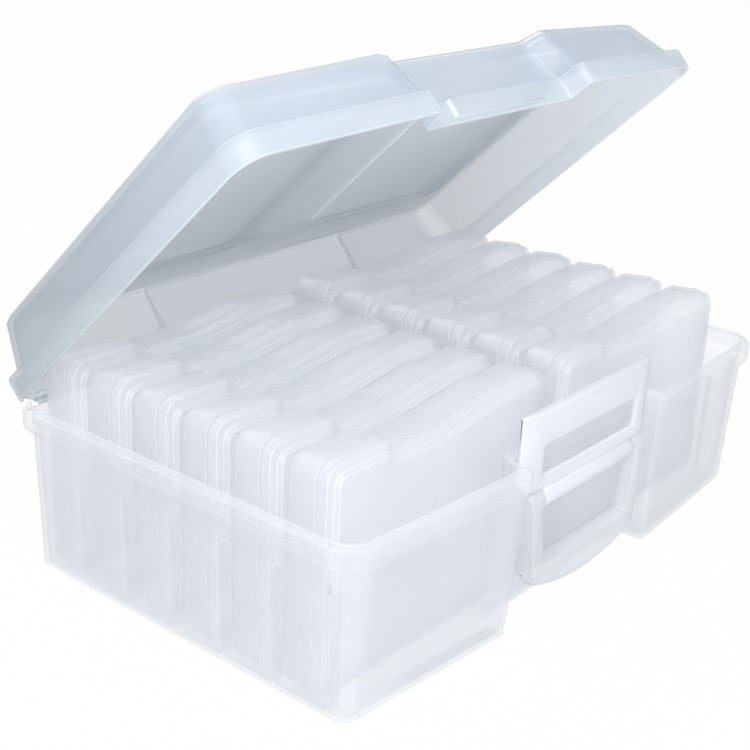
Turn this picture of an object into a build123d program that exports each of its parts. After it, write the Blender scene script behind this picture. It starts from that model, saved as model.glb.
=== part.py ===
from build123d import *
import os
from dataclasses import dataclass, fields
from math import atan2, tan

# Photo keeper case: a hinged carrying case that holds slim photo cases in two columns.
# Millimetres. X runs along the front, Y to the back, Z up. The origin is the middle of the
# underside of the base. The lid is modelled shut and then swung open about its hinge.

# ---- driving sizes ---------------------------------------------------------------------------
# photo and inner case
photo_long = 152.4
photo_short = 101.6
photo_side_room = 15.6
photo_top_room = 14.9
tray_depth = 16.6
tray_draft = 1.6
case_wall = 1.4
case_corner = 9.0
case_foot_corner = 3.0
case_lid_depth = 9.6
band_depth = 6.0
band_inset = 0.9
panel_inset = 4.5
panel_bevel = 1.0

# dip for the fingers in the top edge of an inner case: a step at the left, a ramp at the right
grip_half = 42.0
grip_drop = 5.4
grip_step = 5.0
grip_ramp = 38.0
grip_step_round = 2.0
grip_floor_round = 6.0
grip_ramp_round = 100.0

# rows and columns of inner cases, and the room round them
rows = 6
column_gap = 14.0
row_gap = {"left": 7.2, "right": 6.4}
front_play = {"left": 13.05, "right": 14.65}
back_play = 3.45
side_play = 2.65
case_clearance = 0.2

# base
floor_thick = 2.4
wall = 2.4
wall_top_z = 80.3
wall_flare_x = 3.2
wall_flare_y = 4.75
foot_corner = 9.0
foot_edge = 2.0
wall_top_corner = 17.0
collar_step_x = 3.95
collar_step_y = 2.6
collar_corner = 16.4
collar_height = 12.3
collar_taper = 2.4
collar_wall = 4.4
shoulder_drop = 2.4
lip_gap = 0.5

# recess in the middle of the front, and the peaks beside it
foot_peak = 8.3
wall_top_peak = 8.4
collar_peak = 6.8
peak_corner = 4.5
recess_half = 61.4
recess_depth = 8.6
recess_taper = 0.8
recess_corner = 2.0
recess_step_x = 1.0
recess_step_y = 3.4
recess_flare_x = 4.6
recess_flare_y = 2.6

# guide ribs and spine inside the base
rib_thick = 2.4
rib_reach = 3.4
rib_height = 64.0
spine_thick = 2.4
spine_height = 48.0
spine_rib_reach = 3.6

# lid
lid_wall = 2.2
lid_play = 9.8
lid_gap = 0.2
band_height = 12.3
rim_overhang = 0.5
lid_rim_peak = 6.6
lid_rim_corner = 16.0
lid_ledge = 4.2
lid_ledge_corner = 15.0
lid_flare_x = 7.65
lid_flare_front = 8.5
lid_flare_back = 2.6
lid_top_peak = 8.1
lid_top_corner = 13.0
lid_top_edge = 2.6
lid_open_deg = 43.6

# recess of the lid
lid_recess_gap = 1.0
lid_recess_set = 0.1
lid_recess_ledge = 3.5
lid_recess_flare = 1.4
lid_recess_spread = 0.5
lid_recess_corner = 6.0
lid_rim_recess_taper = 1.6
lid_ledge_recess_taper = 5.0
lid_top_recess_taper = 9.5

# sunk panels in the top of the lid, and the block on its rim that the latch catches
panel_gap = 62.0
panel_border_x = 18.85
panel_border_front = 17.9
panel_border_back = 31.6
panel_corner = 9.0
panel_sink = 1.2
catch_set = 3.0
catch_reach = 2.2
catch_lift = 2.9

# lid hinge
hinge_from_collar = 3.4
hinge_from_end = 105.2
hinge_back_slope = 1.6
barrel_radius = 3.2
barrel_gap = 0.4
knuckle_width = 18.0
knuckle_gap = 0.5
knuckle_radius = 3.0
knuckle_swing = 1.4
hinge_pin_radius = 1.5
hinge_pin_reach = 11.0
pin_clearance = 0.05
ledge_overlap = 0.5
lid_rib_thick = 2.6
lid_rib_reach = 2.4

# pivot of the latch and the handle
pivot_set = 4.5
pivot_drop = 14.8
pivot_gap = 0.4
pivot_pin_radius = 2.0
lug_set = 20.4
lug_thick = 3.8
lug_radius = 5.0

# latch
latch_side_gap = 2.9
latch_wing = 10.0
latch_thick = 2.2
latch_front = 3.0
latch_bevel = 2.7
latch_barrel_radius = 5.5
latch_wing_lift = 6.5
latch_corner_cut = 5.0
latch_pin_depth = 5.0
window_spread = 2.9
window_lift = 13.1
window_height = 16.6
window_corner = 2.0
hook_clear = 0.6
hook_height = 9.7
hook_bite = 2.3
hook_round = 1.6

# handle
eye_width = 8.4
eye_radius = 5.5
eye_recess = 1.2
handle_thick = 8.0
handle_set = 2.0
arm_drop = 35.0
arm_lean_outer = 4.6
arm_lean_inner = 5.2
grip_end_height = 11.0
grip_mid_height = 19.0
grip_end_cut_x = 2.0
grip_end_cut_z = 3.0
grip_thick = 10.5
grip_round = 3.4

# ---- worked out from the above ---------------------------------------------------------------
# the smallest round of an outline, how far a cut runs past a face, and past the whole case
least_round = 0.6
over = 1.0
far = 400.0
side_sign = {"left": -1, "right": 1}
case_width = photo_long + photo_side_room
case_height = photo_short + photo_top_room
case_z = floor_thick + case_clearance
row_depth = tray_depth + case_lid_depth
row_pitch = {side: row_depth + gap for side, gap in row_gap.items()}
rows_depth = (rows - 1) * row_pitch["left"] + row_depth

foot_width = column_gap + 2 * (case_width + side_play + wall)
foot_depth = rows_depth + front_play["left"] + back_play + 2 * wall
wall_top_width = foot_width + 2 * wall_flare_x
wall_top_depth = foot_depth + 2 * wall_flare_y
collar_width = wall_top_width + 2 * collar_step_x
collar_depth = wall_top_depth + 2 * collar_step_y
collar_recess_y = collar_depth / 2 - recess_depth
wall_top_recess_y = collar_recess_y - recess_step_y
foot_recess_y = wall_top_recess_y - recess_flare_y
wall_top_recess_half = recess_half + recess_step_x
foot_recess_half = wall_top_recess_half + recess_flare_x
front_row_y = {side: wall + play - foot_depth / 2 for side, play in front_play.items()}

base_height = wall_top_z + collar_height
shoulder_z = base_height - shoulder_drop
rim_z = shoulder_z + lid_gap
hinge_y = collar_depth / 2 - hinge_from_collar
hinge_z = rim_z + lid_gap
hinge_x = collar_width / 2 - hinge_from_end
hinge_bore_radius = hinge_pin_radius + pin_clearance
back_rim_z = hinge_z - barrel_radius - barrel_gap
ledge_z = rim_z + band_height
lid_top_z = case_z + case_height + lid_play + panel_sink + lid_wall

lid_rim_half = collar_width / 2 + rim_overhang
lid_rim_back = hinge_y + barrel_radius
lid_rim_front = collar_depth / 2
lid_rim_recess_half = recess_half + lid_recess_gap
lid_rim_recess_y = collar_recess_y - lid_recess_set
lid_ledge_recess_half = lid_rim_recess_half + lid_ledge / 2
lid_ledge_recess_y = lid_rim_recess_y - lid_recess_ledge
lid_top_half = lid_rim_half - lid_ledge - lid_flare_x
lid_top_back = lid_rim_back - lid_ledge - lid_flare_back
lid_top_front = lid_rim_front - lid_ledge - lid_flare_front
lid_top_recess_half = lid_ledge_recess_half + lid_recess_spread
lid_top_recess_y = lid_ledge_recess_y - lid_recess_flare

pivot_y = -collar_recess_y - pivot_set
pivot_z = wall_top_z - pivot_drop
pivot_bore_radius = pivot_pin_radius + pin_clearance
lug_inner = recess_half - lug_set
lug_outer = lug_inner + lug_thick
catch_half = lug_inner - catch_set
latch_half = lid_rim_recess_half - latch_side_gap
latch_flat_half = latch_half - latch_wing
latch_front_y = pivot_y - latch_front
hook_z = ledge_z + hook_clear
latch_top_z = hook_z + hook_height
window_half = lug_inner + window_spread
window_low_z = pivot_z + window_lift
window_high_z = window_low_z + window_height
eye_inner = lug_outer + pivot_gap
eye_outer = eye_inner + eye_width
grip_top_z = pivot_z - arm_drop
grip_end_z = grip_top_z - grip_end_height
grip_mid_z = grip_top_z - grip_mid_height
arm_low_outer = eye_outer - arm_lean_outer
arm_low_inner = eye_inner - arm_lean_inner


@dataclass(frozen=True)
class Outline:
    """Plan outline: a straight back, and a front whose two halves rise to peaks beside a recess."""

    half_width: float
    back: float
    front: float
    peak: float
    recess_half: float
    taper: float
    recess_y: float
    corner: float
    peak_round: float
    recess_round: float

    def grown(self, by):
        """The same outline moved outwards by a distance, or inwards where it is negative."""
        return Outline(
            self.half_width + by,
            self.back + by,
            self.front + by,
            self.peak,
            self.recess_half - by,
            self.taper,
            self.recess_y + by,
            max(self.corner + by, least_round),
            max(self.peak_round + by, least_round),
            max(self.recess_round - by, least_round),
        )

    def toward(self, other, share):
        """An outline part of the way from this one to another, as on a drafted wall."""
        values = []
        for field in fields(self):
            mine = getattr(self, field.name)
            values.append(mine + share * (getattr(other, field.name) - mine))
        return Outline(*values)

    def face(self, z):
        """The flat face that the outline bounds, at a height."""
        half, apex = self.recess_half, self.front + self.peak
        right = [
            (half - self.taper, -self.recess_y, self.recess_round),
            (half, -apex, self.peak_round),
            (self.half_width, -self.front, self.corner),
            (self.half_width, self.back, self.corner),
        ]
        left = [(-x, y, r) for x, y, r in reversed(right)]
        ring = right + left
        edge = FilletPolyline(*[(x, y) for x, y, _ in ring], radius=[r for _, _, r in ring], close=True)
        return Pos(0, 0, z) * make_face(edge)


foot = Outline(
    half_width=foot_width / 2,
    back=foot_depth / 2,
    front=foot_depth / 2,
    peak=foot_peak,
    recess_half=foot_recess_half,
    taper=recess_taper,
    recess_y=foot_recess_y,
    corner=foot_corner,
    peak_round=peak_corner,
    recess_round=recess_corner,
)
wall_top = Outline(
    half_width=wall_top_width / 2,
    back=wall_top_depth / 2,
    front=wall_top_depth / 2,
    peak=wall_top_peak,
    recess_half=wall_top_recess_half,
    taper=recess_taper,
    recess_y=wall_top_recess_y,
    corner=wall_top_corner,
    peak_round=peak_corner,
    recess_round=recess_corner,
)
collar = Outline(
    half_width=collar_width / 2,
    back=collar_depth / 2,
    front=collar_depth / 2,
    peak=collar_peak,
    recess_half=recess_half,
    taper=recess_taper,
    recess_y=collar_recess_y,
    corner=collar_corner,
    peak_round=peak_corner,
    recess_round=recess_corner,
)
lid_rim = Outline(
    half_width=lid_rim_half,
    back=lid_rim_back,
    front=lid_rim_front,
    peak=lid_rim_peak,
    recess_half=lid_rim_recess_half,
    taper=lid_rim_recess_taper,
    recess_y=lid_rim_recess_y,
    corner=lid_rim_corner,
    peak_round=peak_corner,
    recess_round=recess_corner,
)
lid_ledge_line = Outline(
    half_width=lid_rim_half - lid_ledge,
    back=lid_rim_back - lid_ledge,
    front=lid_rim_front - lid_ledge,
    peak=lid_rim_peak,
    recess_half=lid_ledge_recess_half,
    taper=lid_ledge_recess_taper,
    recess_y=lid_ledge_recess_y,
    corner=lid_ledge_corner,
    peak_round=peak_corner,
    recess_round=lid_recess_corner,
)
lid_top = Outline(
    half_width=lid_top_half,
    back=lid_top_back,
    front=lid_top_front,
    peak=lid_top_peak,
    recess_half=lid_top_recess_half,
    taper=lid_top_recess_taper,
    recess_y=lid_top_recess_y,
    corner=lid_top_corner,
    peak_round=peak_corner,
    recess_round=lid_recess_corner,
)


def between(low, low_z, high, high_z):
    """A solid whose wall runs straight from one outline up to another."""
    return loft([low.face(low_z), high.face(high_z)], ruled=True)


def block(x0, x1, y0, y1, z0, z1):
    """A box given by its two ends along each axis."""
    middle = ((x0 + x1) / 2, (y0 + y1) / 2, (z0 + z1) / 2)
    return Pos(*middle) * Box(abs(x1 - x0), abs(y1 - y0), abs(z1 - z0))


def rod(x0, x1, y, z, radius):
    """A round bar along X."""
    return Pos((x0 + x1) / 2, y, z) * Rot(0, 90, 0) * Cylinder(radius, abs(x1 - x0))


def on_both_sides(piece):
    """A piece and its mirror image across the middle of the case."""
    return piece + mirror(piece, Plane.YZ)


# ---- base ------------------------------------------------------------------------------------
def base_outside():
    """Walls with their draft, the rounded foot and the collar with its tapered underside."""
    at = foot_edge / wall_top_z
    body = between(foot.grown(-foot_edge), 0, foot.toward(wall_top, at), foot_edge)
    body += between(foot.toward(wall_top, at), foot_edge, wall_top, wall_top_z - collar_taper)
    body += between(wall_top, wall_top_z - collar_taper, collar, wall_top_z)
    body += extrude(collar.face(wall_top_z), shoulder_z - wall_top_z)
    lip = lid_rim.grown(-lid_wall - lip_gap)
    return body + extrude(lip.face(shoulder_z), shoulder_drop)


def base_inside():
    """The space inside the walls, a little wider within the collar."""
    low = foot.toward(wall_top, floor_thick / wall_top_z).grown(-wall)
    mouth = collar.grown(-collar_wall)
    body = between(low, floor_thick, wall_top.grown(-wall), wall_top_z)
    body += between(wall_top.grown(-wall), wall_top_z, mouth, wall_top_z + collar_taper)
    return body + extrude(mouth.face(wall_top_z + collar_taper), collar_height)


def rib_places(side):
    """Y of each rib beside a column: one in front of every row, in the middle of the gap."""
    first = front_row_y[side] - row_gap[side] / 2
    return [first + row_pitch[side] * step for step in range(rows)]


def guide_ribs():
    """Upright ribs on the side walls and on a low spine, which keep the inner cases apart."""
    tip = column_gap / 2 + case_width - rib_reach
    spine_tip = column_gap / 2 + spine_rib_reach
    ribs = block(-spine_thick / 2, spine_thick / 2, -far, far, floor_thick, spine_height)
    for side, out in side_sign.items():
        for y in rib_places(side):
            y0, y1 = y - rib_thick / 2, y + rib_thick / 2
            ribs += block(out * tip, out * far, y0, y1, floor_thick, rib_height)
            ribs += block(0, out * spine_tip, y0, y1, floor_thick, spine_height)
    return ribs


def pivot_lugs():
    """The pair of lugs in the recess that carry the latch and the handle."""
    root_y = -foot_recess_y + wall / 2
    web = block(lug_inner, lug_outer, pivot_y, root_y, pivot_z - lug_radius, pivot_z + lug_radius)
    lug = web + rod(lug_inner, lug_outer, pivot_y, pivot_z, lug_radius)
    bore = rod(lug_inner - over, lug_outer + over, pivot_y, pivot_z, pivot_bore_radius)
    return on_both_sides(lug - bore)


def hinge_knuckles():
    """The two knuckles on the back rim that hold the hinge pins."""
    x0, x1 = hinge_x - knuckle_width / 2, hinge_x + knuckle_width / 2
    y0, y1 = hinge_y - knuckle_radius, hinge_y + knuckle_radius
    web = block(x0, x1, y0, y1, back_rim_z - over, hinge_z)
    knuckle = web + rod(x0, x1, hinge_y, hinge_z, knuckle_radius)
    bore = rod(x0 - over, x1 + over, hinge_y, hinge_z, hinge_bore_radius)
    return on_both_sides(knuckle - bore)


def hinge_channel():
    """What is cut off the back rim so that the barrel of the lid can turn there."""
    front = hinge_y - barrel_radius - barrel_gap
    channel = block(-far, far, front, far, back_rim_z, far)
    back = collar_depth / 2
    slope = [
        (back - collar_wall, back_rim_z),
        (back, back_rim_z - hinge_back_slope),
        (back + over, back_rim_z - hinge_back_slope),
        (back + over, back_rim_z + over),
        (back - collar_wall, back_rim_z + over),
    ]
    wedge = make_face(Polyline(*[(0, y, z) for y, z in slope], close=True))
    return channel + extrude(wedge, far, dir=(1, 0, 0), both=True)


def base():
    outside = base_outside()
    shell = outside - base_inside()
    shell -= hinge_channel()
    shell += guide_ribs() & outside
    return shell + pivot_lugs() + hinge_knuckles()


# ---- lid, modelled shut ----------------------------------------------------------------------
def lid_outside():
    """Rim band, ledge, tapered walls and the chamfered edge of the top."""
    body = extrude(lid_rim.face(rim_z), band_height)
    edge_z = lid_top_z - lid_top_edge
    body += between(lid_ledge_line, ledge_z, lid_top, edge_z)
    return body + between(lid_top, edge_z, lid_top.grown(-lid_top_edge), lid_top_z)


def lid_inside():
    """The space inside the lid."""
    roof_z = lid_top_z - lid_wall
    body = extrude(lid_rim.grown(-lid_wall).face(rim_z - over), band_height + over - lid_wall)
    low, high = lid_ledge_line.grown(-lid_wall), lid_top.grown(-lid_wall)
    body += between(low, ledge_z - lid_wall - ledge_overlap, high, roof_z - lid_top_edge)
    return body + between(high, roof_z - lid_top_edge, high.grown(-lid_top_edge), roof_z)


def lid_panels(z, grow):
    """The two shallow panels of the top, as pockets open upwards from a height."""
    x0, x1 = panel_gap / 2, lid_top_half - panel_border_x
    y0, y1 = panel_border_front - lid_top_front, lid_top_back - panel_border_back
    middle_x, middle_y = (x0 + x1) / 2, (y0 + y1) / 2
    pocket = RectangleRounded(x1 - x0 + 2 * grow, y1 - y0 + 2 * grow, panel_corner + grow)
    return on_both_sides(extrude(Pos(middle_x, middle_y, z) * pocket, far))


def catch_ledge():
    """The block on the rim in the recess that the latch hooks over."""
    front = -lid_rim_recess_y - catch_reach
    back = over - lid_rim_recess_y
    return block(-catch_half, catch_half, front, back, rim_z + catch_lift, ledge_z)


def hinge_barrel():
    """The barrel along the back rim, open at the knuckles of the base and bored for the pins."""
    end = lid_rim_half - lid_rim_corner
    half_gap = knuckle_width / 2 + knuckle_gap
    barrel = rod(-end, end, hinge_y, hinge_z, barrel_radius)
    reach = half_gap + hinge_pin_reach + over
    bore = rod(hinge_x - reach, hinge_x + reach, hinge_y, hinge_z, hinge_bore_radius)
    return barrel - on_both_sides(bore)


def knuckle_slots():
    """The slots in the back rim of the lid round the knuckles of the base."""
    half_gap = knuckle_width / 2 + knuckle_gap
    low, high = hinge_z - far, hinge_z + knuckle_radius + knuckle_swing
    front = hinge_y - barrel_radius - over
    return on_both_sides(block(hinge_x - half_gap, hinge_x + half_gap, front, far, low, high))


def lid_ribs():
    """Short ribs inside the back wall above the hinges."""
    y0 = lid_top_back - lid_wall - lid_rib_reach
    x0, x1 = hinge_x - lid_rib_thick / 2, hinge_x + lid_rib_thick / 2
    return on_both_sides(block(x0, x1, y0, far, ledge_z, far))


def lid_shut():
    outside = lid_outside()
    shell = outside - lid_inside()
    roof = lid_top_z - lid_wall - panel_sink
    boss = (lid_panels(roof, lid_wall) & outside) - lid_panels(lid_top_z - panel_sink, 0)
    shell = shell - lid_panels(lid_top_z - panel_sink, 0) + boss
    shell += lid_ribs() & outside
    barrel_zone = rod(-far, far, hinge_y, hinge_z, barrel_radius)
    shell = (shell - barrel_zone) + hinge_barrel()
    return shell - knuckle_slots() + catch_ledge()


def about_hinge(piece, angle):
    """Swing a piece of the lid open about the lid hinge."""
    return Pos(0, hinge_y, hinge_z) * Rot(-angle, 0, 0) * Pos(0, -hinge_y, -hinge_z) * piece


def hinge_pin(side):
    reach = knuckle_width / 2 + knuckle_gap + hinge_pin_reach
    return rod(side * hinge_x - reach, side * hinge_x + reach, hinge_y, hinge_z, hinge_pin_radius)


# ---- latch and handle ------------------------------------------------------------------------
def latch_plan(back_y):
    """Plan section of the latch plate, flat in front with both wings set back."""
    wing = latch_front_y + latch_bevel
    front = [(-latch_half, wing), (-latch_flat_half, latch_front_y)]
    front += [(-x, y) for x, y in reversed(front)]
    if back_y is None:
        back = [(x, y + latch_thick) for x, y in reversed(front)]
    else:
        back = [(latch_half, back_y), (-latch_half, back_y)]
    return make_face(Polyline(*front, *back, close=True))


def latch_window():
    size = (2 * window_half, window_high_z - window_low_z)
    opening = RectangleRounded(*size, window_corner)
    middle = Plane((0, latch_front_y, (window_low_z + window_high_z) / 2), (1, 0, 0), (0, -1, 0))
    return extrude(middle * opening, latch_thick * 3, both=True)


def latch_corner_cuts():
    """What is cut off the plate to slant its lower corners."""
    low_z = pivot_z + latch_wing_lift
    tip = [
        (latch_half + over, low_z - over),
        (latch_half + over, low_z + latch_corner_cut),
        (latch_half - latch_corner_cut, low_z - over),
    ]
    face = make_face(Polyline(*[(x, 0, z) for x, z in tip], close=True))
    return on_both_sides(extrude(face, far, dir=(0, 1, 0), both=True))


def latch():
    low_z = pivot_z + latch_wing_lift
    neck_half = lug_inner - pivot_gap
    plate = extrude(Pos(0, 0, low_z) * latch_plan(None), latch_top_z - low_z)
    plate -= latch_corner_cuts()
    back_y = latch_front_y + latch_thick
    hook = extrude(Pos(0, 0, hook_z) * latch_plan(back_y + hook_bite), latch_top_z - hook_z)
    neck = block(-neck_half, neck_half, latch_front_y, back_y, pivot_z, low_z + over)
    barrel = rod(-neck_half, neck_half, pivot_y, pivot_z, latch_barrel_radius)
    body = plate + hook - latch_window()
    top = body.faces().sort_by(Axis.Z)[-1]
    front_edges = top.edges().sort_by(Axis.Y)[:3]
    body = fillet(front_edges, hook_round)
    bore_end = neck_half - latch_pin_depth
    bore = rod(bore_end, neck_half + over, pivot_y, pivot_z, pivot_bore_radius)
    return body + neck + barrel - on_both_sides(bore)


def handle_profile():
    """Front view of the bail: two arms and a grip whose underside bows down."""
    arm = [
        (eye_inner, pivot_z),
        (eye_outer, pivot_z),
        (arm_low_outer, (grip_top_z + grip_end_z) / 2),
        (arm_low_inner, grip_top_z - over),
        (eye_inner, pivot_z - lug_radius - pivot_gap),
    ]
    arms = on_both_sides(make_face(Polyline(*[(x, 0, z) for x, z in arm], close=True)))
    end, cut, cut_z = arm_low_outer, arm_low_outer - grip_end_cut_x, grip_end_z + grip_end_cut_z
    outline = Polyline((cut, 0, grip_end_z), (end, 0, cut_z), (end, 0, grip_top_z))
    outline += Line((end, 0, grip_top_z), (-end, 0, grip_top_z))
    outline += Polyline((-end, 0, grip_top_z), (-end, 0, cut_z), (-cut, 0, grip_end_z))
    bow = ThreePointArc((-cut, 0, grip_end_z), (0, 0, grip_mid_z), (cut, 0, grip_end_z))
    return arms, make_face(outline + bow)


def handle():
    arms, grip = handle_profile()
    middle_y = pivot_y - handle_set
    arm_solid = extrude(Pos(0, middle_y, 0) * arms, handle_thick / 2, dir=(0, 1, 0), both=True)
    grip_solid = extrude(Pos(0, middle_y, 0) * grip, grip_thick / 2, dir=(0, 1, 0), both=True)
    grip_solid = fillet(grip_solid.edges().filter_by(Plane.XZ), grip_round)
    eye = rod(eye_inner, eye_outer, pivot_y, pivot_z, eye_radius)
    bore = rod(eye_inner - over, eye_outer + over, pivot_y, pivot_z, pivot_bore_radius)
    return arm_solid + grip_solid + on_both_sides(eye) - on_both_sides(bore)


def pivot_pin(side):
    start = lug_inner - latch_pin_depth
    end = eye_outer - eye_recess
    return rod(side * start, side * end, pivot_y, pivot_z, pivot_pin_radius)


# ---- inner cases -----------------------------------------------------------------------------
def case_outline(inset, corner, y):
    """Front view of an inner case. Its top edge dips for the fingers, in a step and then a ramp."""
    half, top, low = case_width / 2 - inset, case_height - inset, inset
    floor = top - grip_drop
    step_lean = inset * tan(atan2(grip_drop, grip_step) / 2)
    ramp_lean = inset * tan(atan2(grip_drop, grip_ramp) / 2)
    foot_round = max(case_foot_corner - inset, least_round)
    ring = [
        (half, low, foot_round),
        (half, top, corner),
        (grip_half + ramp_lean, top, grip_ramp_round),
        (grip_half - grip_ramp + ramp_lean, floor, grip_ramp_round),
        (grip_step - grip_half - step_lean, floor, grip_floor_round),
        (-grip_half - step_lean, top, grip_step_round),
        (-half, top, corner),
        (-half, low, foot_round),
    ]
    edge = FilletPolyline(*[(x, y, z) for x, z, _ in ring], radius=[r for _, _, r in ring], close=True)
    return make_face(edge)


def case_shell(steps, corner):
    """A pan lofted through insets given as (distance from the mouth, inset), and hollowed."""
    outer, inner = None, None
    for (y0, inset0), (y1, inset1) in zip(steps, steps[1:]):
        faces = [case_outline(i, corner - i / 2, y) for y, i in ((y0, inset0), (y1, inset1))]
        outer = loft(faces, ruled=True) if outer is None else outer + loft(faces, ruled=True)
        sign = 1 if y1 > y0 else -1
        start = y0 - sign * (over if y0 == steps[0][0] else case_wall)
        hollow = [
            case_outline(i + case_wall, corner - i / 2 - case_wall, y)
            for y, i in ((start, inset0), (y1 - sign * case_wall, inset1))
        ]
        inner = loft(hollow, ruled=True) if inner is None else inner + loft(hollow, ruled=True)
    return outer - inner


def tray():
    """Rear half of an inner case, with its mouth on the plane y = 0."""
    return case_shell([(0.0, 0.0), (tray_depth, tray_draft)], case_corner)


def case_lid():
    """Front half of an inner case: a band round the mouth and a raised face inside it."""
    steps = [
        (-case_clearance, band_inset),
        (-band_depth, band_inset),
        (-band_depth - panel_bevel, panel_inset),
        (-case_lid_depth, panel_inset + panel_bevel),
    ]
    return case_shell(steps, case_corner)


# ---- writing ---------------------------------------------------------------------------------
def case_place(column, row):
    """Where the mouth of an inner case stands. Row 1 is at the back."""
    x = side_sign[column] * (column_gap + case_width) / 2
    y = front_row_y[column] + row_pitch[column] * (rows - row) + case_lid_depth
    return Pos(x, y, case_z)


def build():
    nodes = {
        "base": base(),
        "lid": about_hinge(lid_shut(), lid_open_deg),
        "latch": latch(),
        "handle": handle(),
    }
    for name, side in side_sign.items():
        nodes[f"hinge_pin_{name}"] = hinge_pin(side)
        nodes[f"pivot_pin_{name}"] = pivot_pin(side)
    tray_piece, lid_piece = tray(), case_lid()
    for column in row_pitch:
        for row in range(1, rows + 1):
            place = case_place(column, row)
            nodes[f"tray_{column}_{row}"] = place * tray_piece
            nodes[f"case_lid_{column}_{row}"] = place * lid_piece
    return nodes


os.makedirs("parts", exist_ok=True)
for node, solid in build().items():
    export_step(solid, f"parts/{node}.step")
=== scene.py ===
"""Looks of the photo keeper case: milky shells, fittings, inner cases, studio and camera.

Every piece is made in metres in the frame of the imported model. Its shape comes from the model's
own solid, welded, with its thin rims marked and its sharp edges rounded. Finishes are procedural.
"""

from __future__ import annotations

import logging
import math
from dataclasses import dataclass
from enum import Enum

import bpy
from mathutils import Matrix, Vector

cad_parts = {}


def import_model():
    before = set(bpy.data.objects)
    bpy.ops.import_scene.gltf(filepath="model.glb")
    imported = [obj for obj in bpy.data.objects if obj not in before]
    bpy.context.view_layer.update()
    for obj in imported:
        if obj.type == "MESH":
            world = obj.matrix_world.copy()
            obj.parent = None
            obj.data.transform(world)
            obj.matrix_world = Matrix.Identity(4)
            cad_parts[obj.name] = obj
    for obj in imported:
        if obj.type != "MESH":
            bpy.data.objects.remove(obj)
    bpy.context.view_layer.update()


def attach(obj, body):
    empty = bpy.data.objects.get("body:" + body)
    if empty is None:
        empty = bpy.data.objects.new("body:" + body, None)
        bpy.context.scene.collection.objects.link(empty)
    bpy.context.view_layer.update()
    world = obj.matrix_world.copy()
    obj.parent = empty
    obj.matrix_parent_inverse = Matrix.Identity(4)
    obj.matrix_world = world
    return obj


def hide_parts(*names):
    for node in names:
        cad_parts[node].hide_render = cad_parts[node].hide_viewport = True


log = logging.getLogger("photo_keeper")

MM = 0.001
Rgb = tuple[float, float, float]
Place = tuple[float, float, float]
Tree = bpy.types.NodeTree
Socket = bpy.types.NodeSocket

# Shells stand one behind the other, and each wall has two surfaces that light passes.
SURFACES_SEEN_THROUGH = 96

# How far apart, in millimetres, vertices are welded, and what turn still counts as one plane.
WELD_REACH = 0.02
FLAT_DEG = 0.6

# Which edges are rounded and which are shaded smooth, in how many steps an edge is rounded, and
# how far its vertices may stray from the solid, as a share of its width.
SHARP_DEG = 38.0
SMOOTH_DEG = 34.0
ROUND_STEPS = 2
STRAY_SHARE = 0.3

# A narrow face counts as a rim where it turns this far along this share of its outline.
RIM_TURN_DEG = 30.0
RIM_SHARE = 0.6

# Rims are kept apart by the second of two materials, and then by an attribute.
PLAIN, RIM = 0, 1
RIM_MARK = "rim"


class Slot(Enum):
    """Names of the record's material slots; no piece here takes its finish from them."""

    SHELL = "shell_plastic"
    FITTING = "fitting_plastic"
    INNER = "inner_plastic"
    PIN = "pin_plastic"


class Side(Enum):
    """Left and right, seen from the front, for the columns of inner cases and for the pins."""

    LEFT = "left"
    RIGHT = "right"


# ---- shader nodes ----------------------------------------------------------------------------
def add_node(
    tree: Tree,
    kind: str,
    inputs: dict[str, float | tuple[float, ...]] | None = None,
    **options: str,
) -> bpy.types.Node:
    """Add a shader node with its options set and its inputs filled in.

    Args:
        tree: The node tree that it goes into.
        kind: Blender's name of the node, without "ShaderNode".
        inputs: Values of its inputs, by name.
        options: Its own settings, such as the operation of a maths node.

    Returns:
        The node.
    """
    made = tree.nodes.new(f"ShaderNode{kind}")
    for name, value in options.items():
        setattr(made, name, value)
    for name, value in (inputs or {}).items():
        made.inputs[name].default_value = value
    return made


def combined(tree: Tree, operation: str, first: Socket, second: Socket | float) -> Socket:
    """Combine two values with a maths node.

    Args:
        tree: The node tree that it goes into.
        operation: Blender's name of the operation.
        first: The socket of the first value.
        second: The socket of the second value, or the value itself.

    Returns:
        The socket that carries the result.
    """
    made = add_node(tree, "Math", operation=operation)
    tree.links.new(first, made.inputs[0])
    if isinstance(second, float):
        made.inputs[1].default_value = second
    else:
        tree.links.new(second, made.inputs[1])
    return made.outputs[0]


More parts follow.
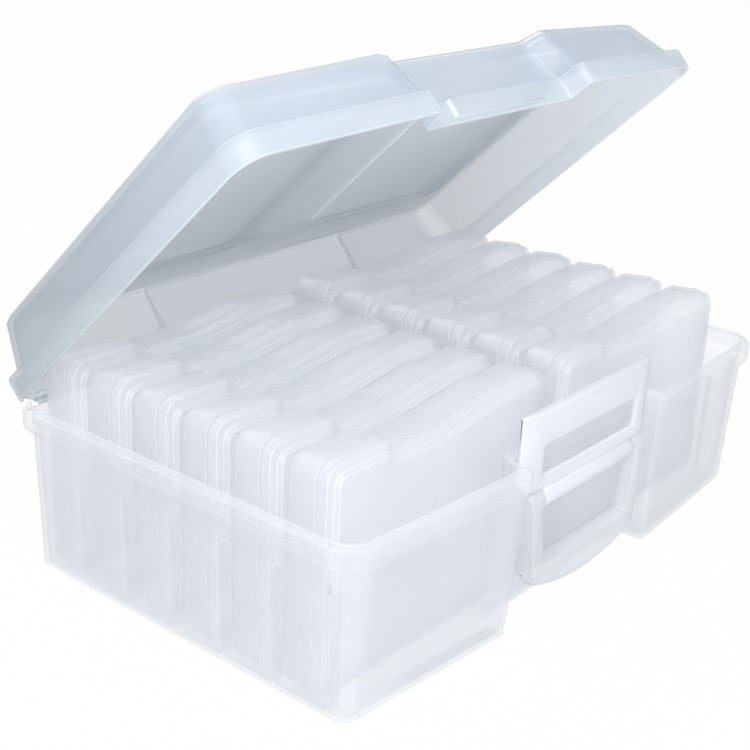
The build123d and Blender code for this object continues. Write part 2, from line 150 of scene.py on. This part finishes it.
# ---- finishes --------------------------------------------------------------------------------
@dataclass(frozen=True)
class MilkyPlastic:
    """Clouded polypropylene: clear enough to see through, more opaque along rims and moulded
    edges, with a paler colour there that is partly painted highlight.

    Attributes:
        name: Name of its material.
        tint: Its colour.
        shade: Its colour where it is clouded.
        rim: Its paler colour along rims and rounded edges, partly the whiter look of plastic seen
            through its edge and partly painted highlight.
        face_alpha: How opaque one surface is, seen face on.
        edge_alpha: How opaque one surface is, seen edge on.
        rim_alpha: How opaque rims and rounded edges are.
        roughness: Roughness in the middle of its range.
        light_passed: Share of the light that passes one surface.
        back_shade: Factor of painted shade on the colour at the back of the case, near the lid's
            hinge, and 1 where there is none.
        back_shade_from: Place along Y, in metres, where the painted shade starts towards the
            back.
        back_shade_to: Place along Y, in metres, where the painted shade is full.
        blend: How soon a surface that turns away grows opaque.
        cloud_scale: Scale of the clouds.
        cloud_detail: Detail of the clouds.
        cloud_from: Height of the cloud noise up to which the colour is the shade.
        cloud_to: Height of the cloud noise from which the colour is the tint.
        grain_scale: Scale of the fine grain.
        grain_detail: Detail of the fine grain.
        grain_depth: How strongly the grain shows.
        grain_reach: How far the grain lifts the surface, in metres.
        gloss_below: How far the roughness falls below its middle.
        gloss_above: How far the roughness rises above its middle.
        coat: Weight of the glossy skin.
        coat_roughness: Roughness of the glossy skin.
        ior: Index of refraction.
    """

    name: str
    tint: Rgb
    shade: Rgb
    rim: Rgb
    face_alpha: float
    edge_alpha: float
    rim_alpha: float
    roughness: float
    light_passed: float = 0.7
    back_shade: float = 1.0
    back_shade_from: float = -0.02
    back_shade_to: float = 0.12
    blend: float = 0.35
    cloud_scale: float = 14.0
    cloud_detail: float = 3.0
    cloud_from: float = 0.3
    cloud_to: float = 0.7
    grain_scale: float = 900.0
    grain_detail: float = 2.0
    grain_depth: float = 0.04
    grain_reach: float = 0.0002
    gloss_below: float = 0.05
    gloss_above: float = 0.08
    coat: float = 0.25
    coat_roughness: float = 0.12
    ior: float = 1.49

    def rims(self, tree: Tree) -> Socket:
        """The piece's own mark of where its rims and rounded edges are."""
        return add_node(tree, "Attribute", attribute_name=RIM_MARK).outputs["Fac"]

    def clouds(self, tree: Tree, where: Socket) -> Socket:
        """Tint with faint clouds of the shade.

        Args:
            tree: The node tree of the material.
            where: Object coordinates.

        Returns:
            The socket that carries the colour.
        """
        cloud = add_node(
            tree, "TexNoise", {"Scale": self.cloud_scale, "Detail": self.cloud_detail}
        )
        ramp = add_node(tree, "ValToRGB")
        low, high = ramp.color_ramp.elements
        low.position, low.color = self.cloud_from, (*self.shade, 1.0)
        high.position, high.color = self.cloud_to, (*self.tint, 1.0)
        tree.links.new(where, cloud.inputs["Vector"])
        tree.links.new(cloud.outputs["Fac"], ramp.inputs["Fac"])
        return ramp.outputs["Color"]

    def painted_back_shade(self, tree: Tree, where: Socket) -> Socket:
        """Factor of painted shade on the colour, which darkens it towards the back of the case.

        Args:
            tree: The node tree of the material.
            where: Object coordinates.

        Returns:
            The socket that carries the factor.
        """
        split = add_node(tree, "SeparateXYZ")
        back = add_node(
            tree,
            "MapRange",
            {
                "From Min": self.back_shade_from,
                "From Max": self.back_shade_to,
                "To Min": 1.0,
                "To Max": self.back_shade,
            },
        )
        tree.links.new(where, split.inputs["Vector"])
        tree.links.new(split.outputs["Y"], back.inputs["Value"])
        return back.outputs["Result"]

    def colour(self, tree: Tree, where: Socket) -> Socket:
        """Clouded tint, the paler tint of the rims, partly painted highlight, and painted shade
        towards the back.

        Args:
            tree: The node tree of the material.
            where: Object coordinates.

        Returns:
            The socket that carries the colour.
        """
        # Rims and rounded edges take the paler rim colour: partly the whiter look of plastic seen
        # edge on, partly painted highlight.
        mix = add_node(tree, "Mix", {"B": (*self.rim, 1.0)}, data_type="RGBA")
        shaded = add_node(tree, "VectorMath", operation="SCALE")
        tree.links.new(self.rims(tree), mix.inputs["Factor"])
        tree.links.new(self.clouds(tree, where), mix.inputs["A"])
        tree.links.new(mix.outputs["Result"], shaded.inputs[0])
        # Painted shade: the colour is darkened towards the back, where the lid lies in shade near
        # its hinge.
        tree.links.new(self.painted_back_shade(tree, where), shaded.inputs["Scale"])
        return shaded.outputs["Vector"]

    def cover(self, tree: Tree) -> Socket:
        """How opaque the plastic is: least face on, more edge on, and its own share on a rim.

        Light that falls on what stands behind meets less of it than the eye does.

        Args:
            tree: The node tree of the material.

        Returns:
            The socket that carries the opacity.
        """
        facing = add_node(tree, "LayerWeight", {"Blend": self.blend})
        see = add_node(tree, "MapRange", {"To Min": self.face_alpha, "To Max": self.edge_alpha})
        mix = add_node(tree, "Mix", {"B": self.rim_alpha}, data_type="FLOAT")
        tree.links.new(facing.outputs["Facing"], see.inputs["Value"])
        tree.links.new(self.rims(tree), mix.inputs["Factor"])
        tree.links.new(see.outputs["Result"], mix.inputs["A"])
        path = add_node(tree, "LightPath")
        light = combined(
            tree, "MAXIMUM", path.outputs["Is Shadow Ray"], path.outputs["Is Diffuse Ray"]
        )
        passed = add_node(tree, "MapRange", {"To Min": 1.0, "To Max": 1.0 - self.light_passed})
        tree.links.new(light, passed.inputs["Value"])
        return combined(tree, "MULTIPLY", mix.outputs["Result"], passed.outputs["Result"])

    def grain(self, tree: Tree, where: Socket, plastic: bpy.types.Node) -> None:
        """Give the plastic its fine grain, in its relief and in its gloss.

        Args:
            tree: The node tree of the material.
            where: Object coordinates.
            plastic: The node of the plastic.
        """
        noise = add_node(
            tree, "TexNoise", {"Scale": self.grain_scale, "Detail": self.grain_detail}
        )
        bump = add_node(
            tree, "Bump", {"Strength": self.grain_depth, "Distance": self.grain_reach}
        )
        gloss = add_node(
            tree,
            "MapRange",
            {
                "To Min": self.roughness - self.gloss_below,
                "To Max": self.roughness + self.gloss_above,
            },
        )
        tree.links.new(where, noise.inputs["Vector"])
        tree.links.new(noise.outputs["Fac"], bump.inputs["Height"])
        tree.links.new(noise.outputs["Fac"], gloss.inputs["Value"])
        tree.links.new(gloss.outputs["Result"], plastic.inputs["Roughness"])
        tree.links.new(bump.outputs["Normal"], plastic.inputs["Normal"])

    def material(self) -> bpy.types.Material:
        """Build the node material.

        Returns:
            The material, or the one made earlier under the same name.
        """
        made = bpy.data.materials.get(self.name)
        if made:
            return made
        made = bpy.data.materials.new(self.name)
        made.use_nodes = True
        tree = made.node_tree
        tree.nodes.clear()
        out = add_node(tree, "OutputMaterial")
        plastic = add_node(
            tree,
            "BsdfPrincipled",
            {"Coat Weight": self.coat, "Coat Roughness": self.coat_roughness, "IOR": self.ior},
        )
        where = add_node(tree, "TexCoord").outputs["Object"]
        self.grain(tree, where, plastic)
        tree.links.new(self.colour(tree, where), plastic.inputs["Base Color"])
        tree.links.new(self.cover(tree), plastic.inputs["Alpha"])
        tree.links.new(plastic.outputs["BSDF"], out.inputs["Surface"])
        return made


# Each finish's rim colour is paler than its tint: partly the whiter look of plastic seen through
# its edge, partly painted highlight along rims and rounded edges.
BASE_SHELL = MilkyPlastic(
    "milky_base",
    tint=(0.76, 0.79, 0.84),
    shade=(0.73, 0.765, 0.82),
    rim=(0.81, 0.84, 0.885),
    face_alpha=0.15,
    edge_alpha=0.52,
    rim_alpha=0.34,
    roughness=0.42,
    coat=0.05,
    grain_depth=0.015,
)
LID_SHELL = MilkyPlastic(
    "milky_lid",
    tint=(0.59, 0.67, 0.765),
    shade=(0.55, 0.635, 0.735),
    rim=(0.84, 0.92, 0.97),
    face_alpha=0.3,
    edge_alpha=0.76,
    rim_alpha=0.6,
    roughness=0.3,
    light_passed=0.5,
    # The lid is darkened towards its hinge: painted shade.
    back_shade=0.67,
)
FITTING = MilkyPlastic(
    "white_fitting",
    tint=(0.80, 0.825, 0.885),
    shade=(0.77, 0.80, 0.865),
    rim=(0.85, 0.87, 0.915),
    face_alpha=0.6,
    edge_alpha=0.9,
    rim_alpha=0.8,
    roughness=0.4,
    coat=0.1,
)
HANDLE = MilkyPlastic(
    "pale_handle",
    tint=(0.72, 0.745, 0.78),
    shade=(0.69, 0.72, 0.76),
    rim=(0.77, 0.795, 0.83),
    face_alpha=0.42,
    edge_alpha=0.8,
    rim_alpha=0.6,
    roughness=0.4,
    coat=0.1,
)
INNER = MilkyPlastic(
    "clear_inner",
    tint=(0.80, 0.825, 0.88),
    shade=(0.77, 0.80, 0.86),
    rim=(0.88, 0.905, 0.95),
    face_alpha=0.24,
    edge_alpha=0.66,
    rim_alpha=0.34,
    roughness=0.28,
    grain_depth=0.02,
)
PIN = MilkyPlastic(
    "pin_stock",
    tint=(0.74, 0.765, 0.82),
    shade=(0.71, 0.735, 0.80),
    rim=(0.78, 0.80, 0.85),
    face_alpha=0.9,
    edge_alpha=1.0,
    rim_alpha=1.0,
    roughness=0.4,
    light_passed=0.0,
)


# ---- bands -----------------------------------------------------------------------------------
@dataclass(frozen=True)
class Band:
    """The thicker band round the mouth of a shell, between two heights in its own shut frame.

    Attributes:
        low: Height of its lower edge in millimetres.
        high: Height of its upper edge in millimetres.
        share: How far it takes the look of a rim, whose paler colour is partly painted highlight,
            from 0 to 1.
        open_deg: How far the shell stands open, in degrees.
        hinge_y: Place of the lid's hinge along Y in millimetres.
        hinge_z: Height of the lid's hinge in millimetres.
    """

    low: float
    high: float
    share: float
    open_deg: float = 0.0
    hinge_y: float = 111.2
    hinge_z: float = 90.6

    def holds(self, place: Vector) -> bool:
        """Whether a point lies in the band.

        Args:
            place: The point, in metres, with the shell as it stands.

        Returns:
            True between the two heights.
        """
        turn = math.radians(self.open_deg)
        back, up = place.y - self.hinge_y * MM, place.z - self.hinge_z * MM
        height = self.hinge_z * MM + back * math.sin(turn) + up * math.cos(turn)
        return self.low * MM <= height <= self.high * MM


# ---- modelling helpers -----------------------------------------------------------------------
def deselect() -> None:
    """Leave nothing selected."""
    bpy.ops.object.select_all(action="DESELECT")


def only(piece: bpy.types.Object) -> None:
    """Select one object alone and make it active."""
    deselect()
    piece.select_set(True)
    bpy.context.view_layer.objects.active = piece


def copied(node: str) -> bpy.types.Object:
    """Copy a node of the model, with a plain and a rim material in place of its own.

    Args:
        node: Name of the node.

    Returns:
        The copy, which has its own mesh and is selected alone.
    """
    piece = bpy.data.objects.new(f"{node}_skin", bpy.data.objects[node].data.copy())
    bpy.context.scene.collection.objects.link(piece)
    piece.data.materials.clear()
    for name in ("plain", "rim"):
        piece.data.materials.append(bpy.data.materials.get(name) or bpy.data.materials.new(name))
    only(piece)
    return piece


def weld() -> None:
    """Weld the active piece's triangles and join those that lie in one plane."""
    bpy.ops.object.mode_set(mode="EDIT")
    bpy.ops.mesh.select_all(action="SELECT")
    bpy.ops.mesh.remove_doubles(threshold=WELD_REACH * MM)
    bpy.ops.mesh.dissolve_limited(angle_limit=math.radians(FLAT_DEG))
    bpy.ops.object.mode_set(mode="OBJECT")


def triangulate() -> None:
    """Cut the active piece's faces into triangles, so that a rounded edge leaves no flap."""
    bpy.ops.object.mode_set(mode="EDIT")
    bpy.ops.mesh.select_all(action="SELECT")
    bpy.ops.mesh.quads_convert_to_tris(quad_method="BEAUTY", ngon_method="BEAUTY")
    bpy.ops.object.mode_set(mode="OBJECT")


def round_edges(piece: bpy.types.Object, edge: float) -> None:
    """Round the sharp edges of the active piece, and put the second material on them.

    Args:
        piece: The active piece.
        edge: Width of the rounded edges in millimetres.
    """
    bevel = piece.modifiers.new("soft_edges", "BEVEL")
    bevel.width = edge * MM
    bevel.segments = ROUND_STEPS
    bevel.limit_method = "ANGLE"
    bevel.angle_limit = math.radians(SHARP_DEG)
    bevel.use_clamp_overlap = False
    bevel.miter_outer = "MITER_ARC"
    bevel.material = RIM
    bpy.ops.object.modifier_apply(modifier=bevel.name)


def tame(piece: bpy.types.Object, solid: bpy.types.Object, reach: float) -> int:
    """Bring stray vertices of the rounded edges back to the solid.

    Args:
        piece: The copy with rounded edges.
        solid: The node that it was copied from.
        reach: How far a vertex may lie from the solid's surface, in millimetres.

    Returns:
        How many vertices were moved.
    """
    moved = 0
    for vertex in piece.data.vertices:
        found, place, _, _ = solid.closest_point_on_mesh(vertex.co)
        if found and (place - vertex.co).length > reach * MM:
            vertex.co = place
            moved += 1
    return moved


def mark_thin_faces(piece: bpy.types.Object, width: float) -> None:
    """Put the second material on every narrow face between sharp edges, such as the top of a rim.

    Args:
        piece: A welded mesh object with two material slots.
        width: The widest such face in millimetres.
    """
    mesh = piece.data
    flat = math.cos(math.radians(RIM_TURN_DEG))
    beside: dict[tuple[int, int], list[Vector]] = {}
    for face in mesh.polygons:
        for key in face.edge_keys:
            beside.setdefault(key, []).append(face.normal)
    for face in mesh.polygons:
        around, sharp = 0.0, 0.0
        for key in face.edge_keys:
            long = (mesh.vertices[key[0]].co - mesh.vertices[key[1]].co).length
            pair = beside[key]
            around += long
            if len(pair) == 2 and pair[0].dot(pair[1]) < flat:
                sharp += long
        if around > 0 and 2 * face.area / around < width * MM and sharp > RIM_SHARE * around:
            face.material_index = RIM


def keep_rim_mark(piece: bpy.types.Object, band: Band | None) -> None:
    """Turn the second material of a piece into its own attribute, which the finishes read.

    Args:
        piece: A mesh object whose rims and rounded edges have the second material.
        band: A thicker band round the piece, which is marked with its own share.
    """
    mesh = piece.data
    mark = mesh.attributes.new(RIM_MARK, "FLOAT", "FACE")
    for face in mesh.polygons:
        part = band.share if band and band.holds(face.center) else 0.0
        mark.data[face.index].value = max(part, float(face.material_index == RIM))
        face.material_index = PLAIN


def dress(piece: bpy.types.Object, finish: MilkyPlastic, body: str) -> None:
    """Give a piece its finish and the body it moves with.

    Args:
        piece: The finished mesh object.
        finish: Its finish.
        body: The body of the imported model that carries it.
    """
    piece.data.materials.clear()
    piece.data.materials.append(finish.material())
    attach(piece, body)


def softened(
    node: str,
    body: str,
    finish: MilkyPlastic,
    edge: float,
    thin: float = 1.7,
    band: Band | None = None,
) -> None:
    """Make the piece that stands for a solid, with its mesh welded and its sharp edges rounded.

    Args:
        node: Name of the node that the piece replaces.
        body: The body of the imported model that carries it.
        finish: Its finish.
        edge: Width of the rounded edges in millimetres.
        thin: Width in millimetres up to which a face between sharp edges counts as a rim.
        band: A thicker band round the piece.
    """
    piece = copied(node)
    weld()
    mark_thin_faces(piece, thin)
    triangulate()
    round_edges(piece, edge)
    strays = tame(piece, bpy.data.objects[node], STRAY_SHARE * edge)
    bpy.ops.object.shade_smooth_by_angle(angle=math.radians(SMOOTH_DEG))
    keep_rim_mark(piece, band)
    dress(piece, finish, body)
    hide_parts(node)
    log.info("%s: %d faces, %d strays", piece.name, len(piece.data.polygons), strays)


# ---- the parts -------------------------------------------------------------------------------
@dataclass
class OuterShells:
    """Base and lid.

    Attributes:
        base_edge: Width of the base's rounded edges in millimetres.
        lid_edge: Width of the lid's rounded edges in millimetres.
        thin: Width in millimetres up to which a face of either counts as a rim.
        collar: The band round the mouth of the base.
        rim: The band round the mouth of the lid.
    """

    base_edge: float = 0.3
    lid_edge: float = 0.35
    thin: float = 3.2
    collar: Band = Band(low=80.4, high=95.0, share=0.1)
    rim: Band = Band(low=88.0, high=102.8, share=0.3, open_deg=43.6)

    def build(self) -> None:
        """Make both shells."""
        for node, finish, edge, band in (
            ("base", BASE_SHELL, self.base_edge, self.collar),
            ("lid", LID_SHELL, self.lid_edge, self.rim),
        ):
            softened(node, node, finish, edge, thin=self.thin, band=band)


@dataclass
class Fittings:
    """Latch, handle and the pins that they and the lid turn on.

    Attributes:
        latch_edge: Width of the latch's rounded edges in millimetres.
        handle_edge: Width of the handle's rounded edges in millimetres.
        pin_edge: Width of the pins' rounded edges in millimetres.
    """

    latch_edge: float = 0.4
    handle_edge: float = 0.25
    pin_edge: float = 0.2

    def build(self) -> None:
        """Make the latch, the handle and the pins."""
        softened("latch", "latch", FITTING, self.latch_edge)
        softened("handle", "handle", HANDLE, self.handle_edge)
        for side in Side:
            for pin in ("hinge_pin", "pivot_pin"):
                softened(f"{pin}_{side.value}", "base", PIN, self.pin_edge)


@dataclass
class InnerCases:
    """The slim cases for photographs, a tray and a clip-on lid each.

    Attributes:
        rows: How many cases stand in a column.
        edge: Width of the rounded edges in millimetres.
    """

    rows: int = 6
    edge: float = 0.3

    def build(self) -> None:
        """Make every case of both columns."""
        for side in Side:
            for row in range(1, self.rows + 1):
                for half in ("tray", "case_lid"):
                    softened(
                        f"{half}_{side.value}_{row}",
                        f"case_{side.value}_{row}",
                        INNER,
                        self.edge,
                    )


# ---- studio ----------------------------------------------------------------------------------
@dataclass(frozen=True)
class Lamp:
    """A soft square lamp.

    Attributes:
        name: Its name.
        place: Where it hangs, in metres.
        size: Its side in metres.
        power: Its power in watts.
    """

    name: str
    place: Place
    size: float
    power: float

    def hang(self, aim: Vector) -> None:
        """Hang the lamp so that it faces a point.

        Args:
            aim: The point, in metres.
        """
        data = bpy.data.lights.new(self.name, "AREA")
        data.size = self.size
        data.energy = self.power
        lamp = bpy.data.objects.new(self.name, data)
        place = Vector(self.place)
        lamp.location = place
        lamp.rotation_euler = (aim - place).to_track_quat("-Z", "Y").to_euler()
        bpy.context.scene.collection.objects.link(lamp)


@dataclass
class Studio:
    """Pale floor, white surroundings and soft lamps.

    Attributes:
        floor_size: Side of the floor in metres.
        floor_drop: How far it lies under the case, in metres.
        floor_grey: Colour of its matt surface.
        floor_glow: Share of white that the camera and glossy surfaces see in it.
        world_light: Strength of the light from all round.
        seen_white: Strength of the white that the camera sees.
        aim: The point that the lamps face, in metres.
        lamps: The lamps.
    """

    floor_size: float = 12.0
    floor_drop: float = 0.0004
    floor_grey: float = 0.75
    floor_glow: float = 0.97
    world_light: float = 0.43
    seen_white: float = 1.0
    aim: Place = (0.0, 0.0, 0.1)
    lamps: tuple[Lamp, ...] = (
        Lamp("lamp_key", place=(-0.86, -0.62, 0.6), size=1.0, power=5.6),
        Lamp("lamp_low", place=(-0.35, -1.2, 0.2), size=0.8, power=2.6),
        Lamp("lamp_above", place=(-0.7, -0.5, 1.35), size=1.3, power=13.0),
        Lamp("lamp_back", place=(0.5, 1.5, 1.3), size=1.3, power=12.0),
    )

    def floor_finish(self) -> bpy.types.Material:
        """Matt grey that takes shadows, seen nearly white.

        Returns:
            The material.
        """
        made = bpy.data.materials.new("studio_white")
        made.use_nodes = True
        tree = made.node_tree
        tree.nodes.clear()
        out = add_node(tree, "OutputMaterial")
        grey = (self.floor_grey, self.floor_grey, self.floor_grey, 1.0)
        matt = add_node(tree, "BsdfDiffuse", {"Color": grey})
        glow = add_node(tree, "Emission", {"Strength": self.seen_white})
        path = add_node(tree, "LightPath").outputs
        seen = combined(tree, "MAXIMUM", path["Is Camera Ray"], path["Is Glossy Ray"])
        seen = combined(tree, "MAXIMUM", seen, path["Is Transmission Ray"])
        mix = add_node(tree, "MixShader")
        tree.links.new(combined(tree, "MULTIPLY", seen, self.floor_glow), mix.inputs["Fac"])
        tree.links.new(matt.outputs["BSDF"], mix.inputs[1])
        tree.links.new(glow.outputs["Emission"], mix.inputs[2])
        tree.links.new(mix.outputs["Shader"], out.inputs["Surface"])
        return made

    def floor(self) -> None:
        """Lay the pale floor under the case."""
        deselect()
        bpy.ops.mesh.primitive_plane_add(
            size=self.floor_size, location=(0.0, 0.0, -self.floor_drop)
        )
        floor = bpy.context.active_object
        floor.name = "studio_floor"
        floor.data.materials.append(self.floor_finish())

    def world(self) -> None:
        """White as the camera sees it, and a softer light on the case."""
        world = bpy.data.worlds.new("studio_world")
        bpy.context.scene.world = world
        world.use_nodes = True
        tree = world.node_tree
        tree.nodes.clear()
        out = add_node(tree, "OutputWorld")
        path = add_node(tree, "LightPath")
        mix = add_node(tree, "MixShader")
        tree.links.new(path.outputs["Is Camera Ray"], mix.inputs["Fac"])
        for place, strength in ((1, self.world_light), (2, self.seen_white)):
            white = add_node(
                tree, "Background", {"Color": (1.0, 1.0, 1.0, 1.0), "Strength": strength}
            )
            tree.links.new(white.outputs["Background"], mix.inputs[place])
        tree.links.new(mix.outputs["Shader"], out.inputs["Surface"])

    def build(self) -> None:
        """Set up the floor, the world and the lamps."""
        self.floor()
        self.world()
        for lamp in self.lamps:
            lamp.hang(Vector(self.aim))


@dataclass
class PhotoCamera:
    """The camera at the photograph's place.

    Attributes:
        place: Where it stands, in metres.
        pan: How far it is turned to the right of the Y axis, in degrees.
        tilt: How far it looks down, in degrees.
        roll: How far it leans, in degrees.
        lens: Focal length in millimetres.
        sensor: Width of its picture in millimetres.
        shift_x: How far the picture is shifted, as a share of its width.
        near: The nearest place that it sees, in metres.
        far: The furthest place that it sees, in metres.
    """

    place: Place = (-0.57380, -0.43378, 0.37190)
    pan: float = 50.94
    tilt: float = 21.69
    roll: float = 2.44
    lens: float = 66.90
    sensor: float = 36.0
    shift_x: float = 0.0051
    near: float = 0.01
    far: float = 50.0

    def turned(self) -> Matrix:
        """The way the camera is turned, from its pan, tilt and roll."""
        pan, tilt, roll = (math.radians(v) for v in (self.pan, self.tilt, self.roll))
        level = math.cos(tilt)
        ahead = Vector((math.sin(pan) * level, math.cos(pan) * level, -math.sin(tilt)))
        side = Vector((math.cos(pan), -math.sin(pan), 0.0))
        up = side.cross(ahead)
        right = side * math.cos(roll) + up * math.sin(roll)
        above = up * math.cos(roll) - side * math.sin(roll)
        return Matrix((right, above, -ahead)).transposed().to_4x4()

    def build(self) -> None:
        """Create the camera and make it the scene's."""
        data = bpy.data.cameras.new("photo_camera")
        data.sensor_width = self.sensor
        data.lens = self.lens
        data.shift_x = self.shift_x
        data.clip_start = self.near
        data.clip_end = self.far
        camera = bpy.data.objects.new("photo_camera", data)
        camera.matrix_world = Matrix.Translation(Vector(self.place)) @ self.turned()
        bpy.context.scene.collection.objects.link(camera)
        bpy.context.scene.camera = camera


def main() -> None:
    """Load the model, set up the camera and the studio, and make every piece."""
    logging.basicConfig(level=logging.INFO, format="%(name)s: %(message)s")
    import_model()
    scene = bpy.context.scene
    scene.view_settings.view_transform = "Standard"
    scene.cycles.transparent_max_bounces = SURFACES_SEEN_THROUGH
    PhotoCamera().build()
    Studio().build()
    OuterShells().build()
    Fittings().build()
    InnerCases().build()


if __name__ == "__main__":
    main()
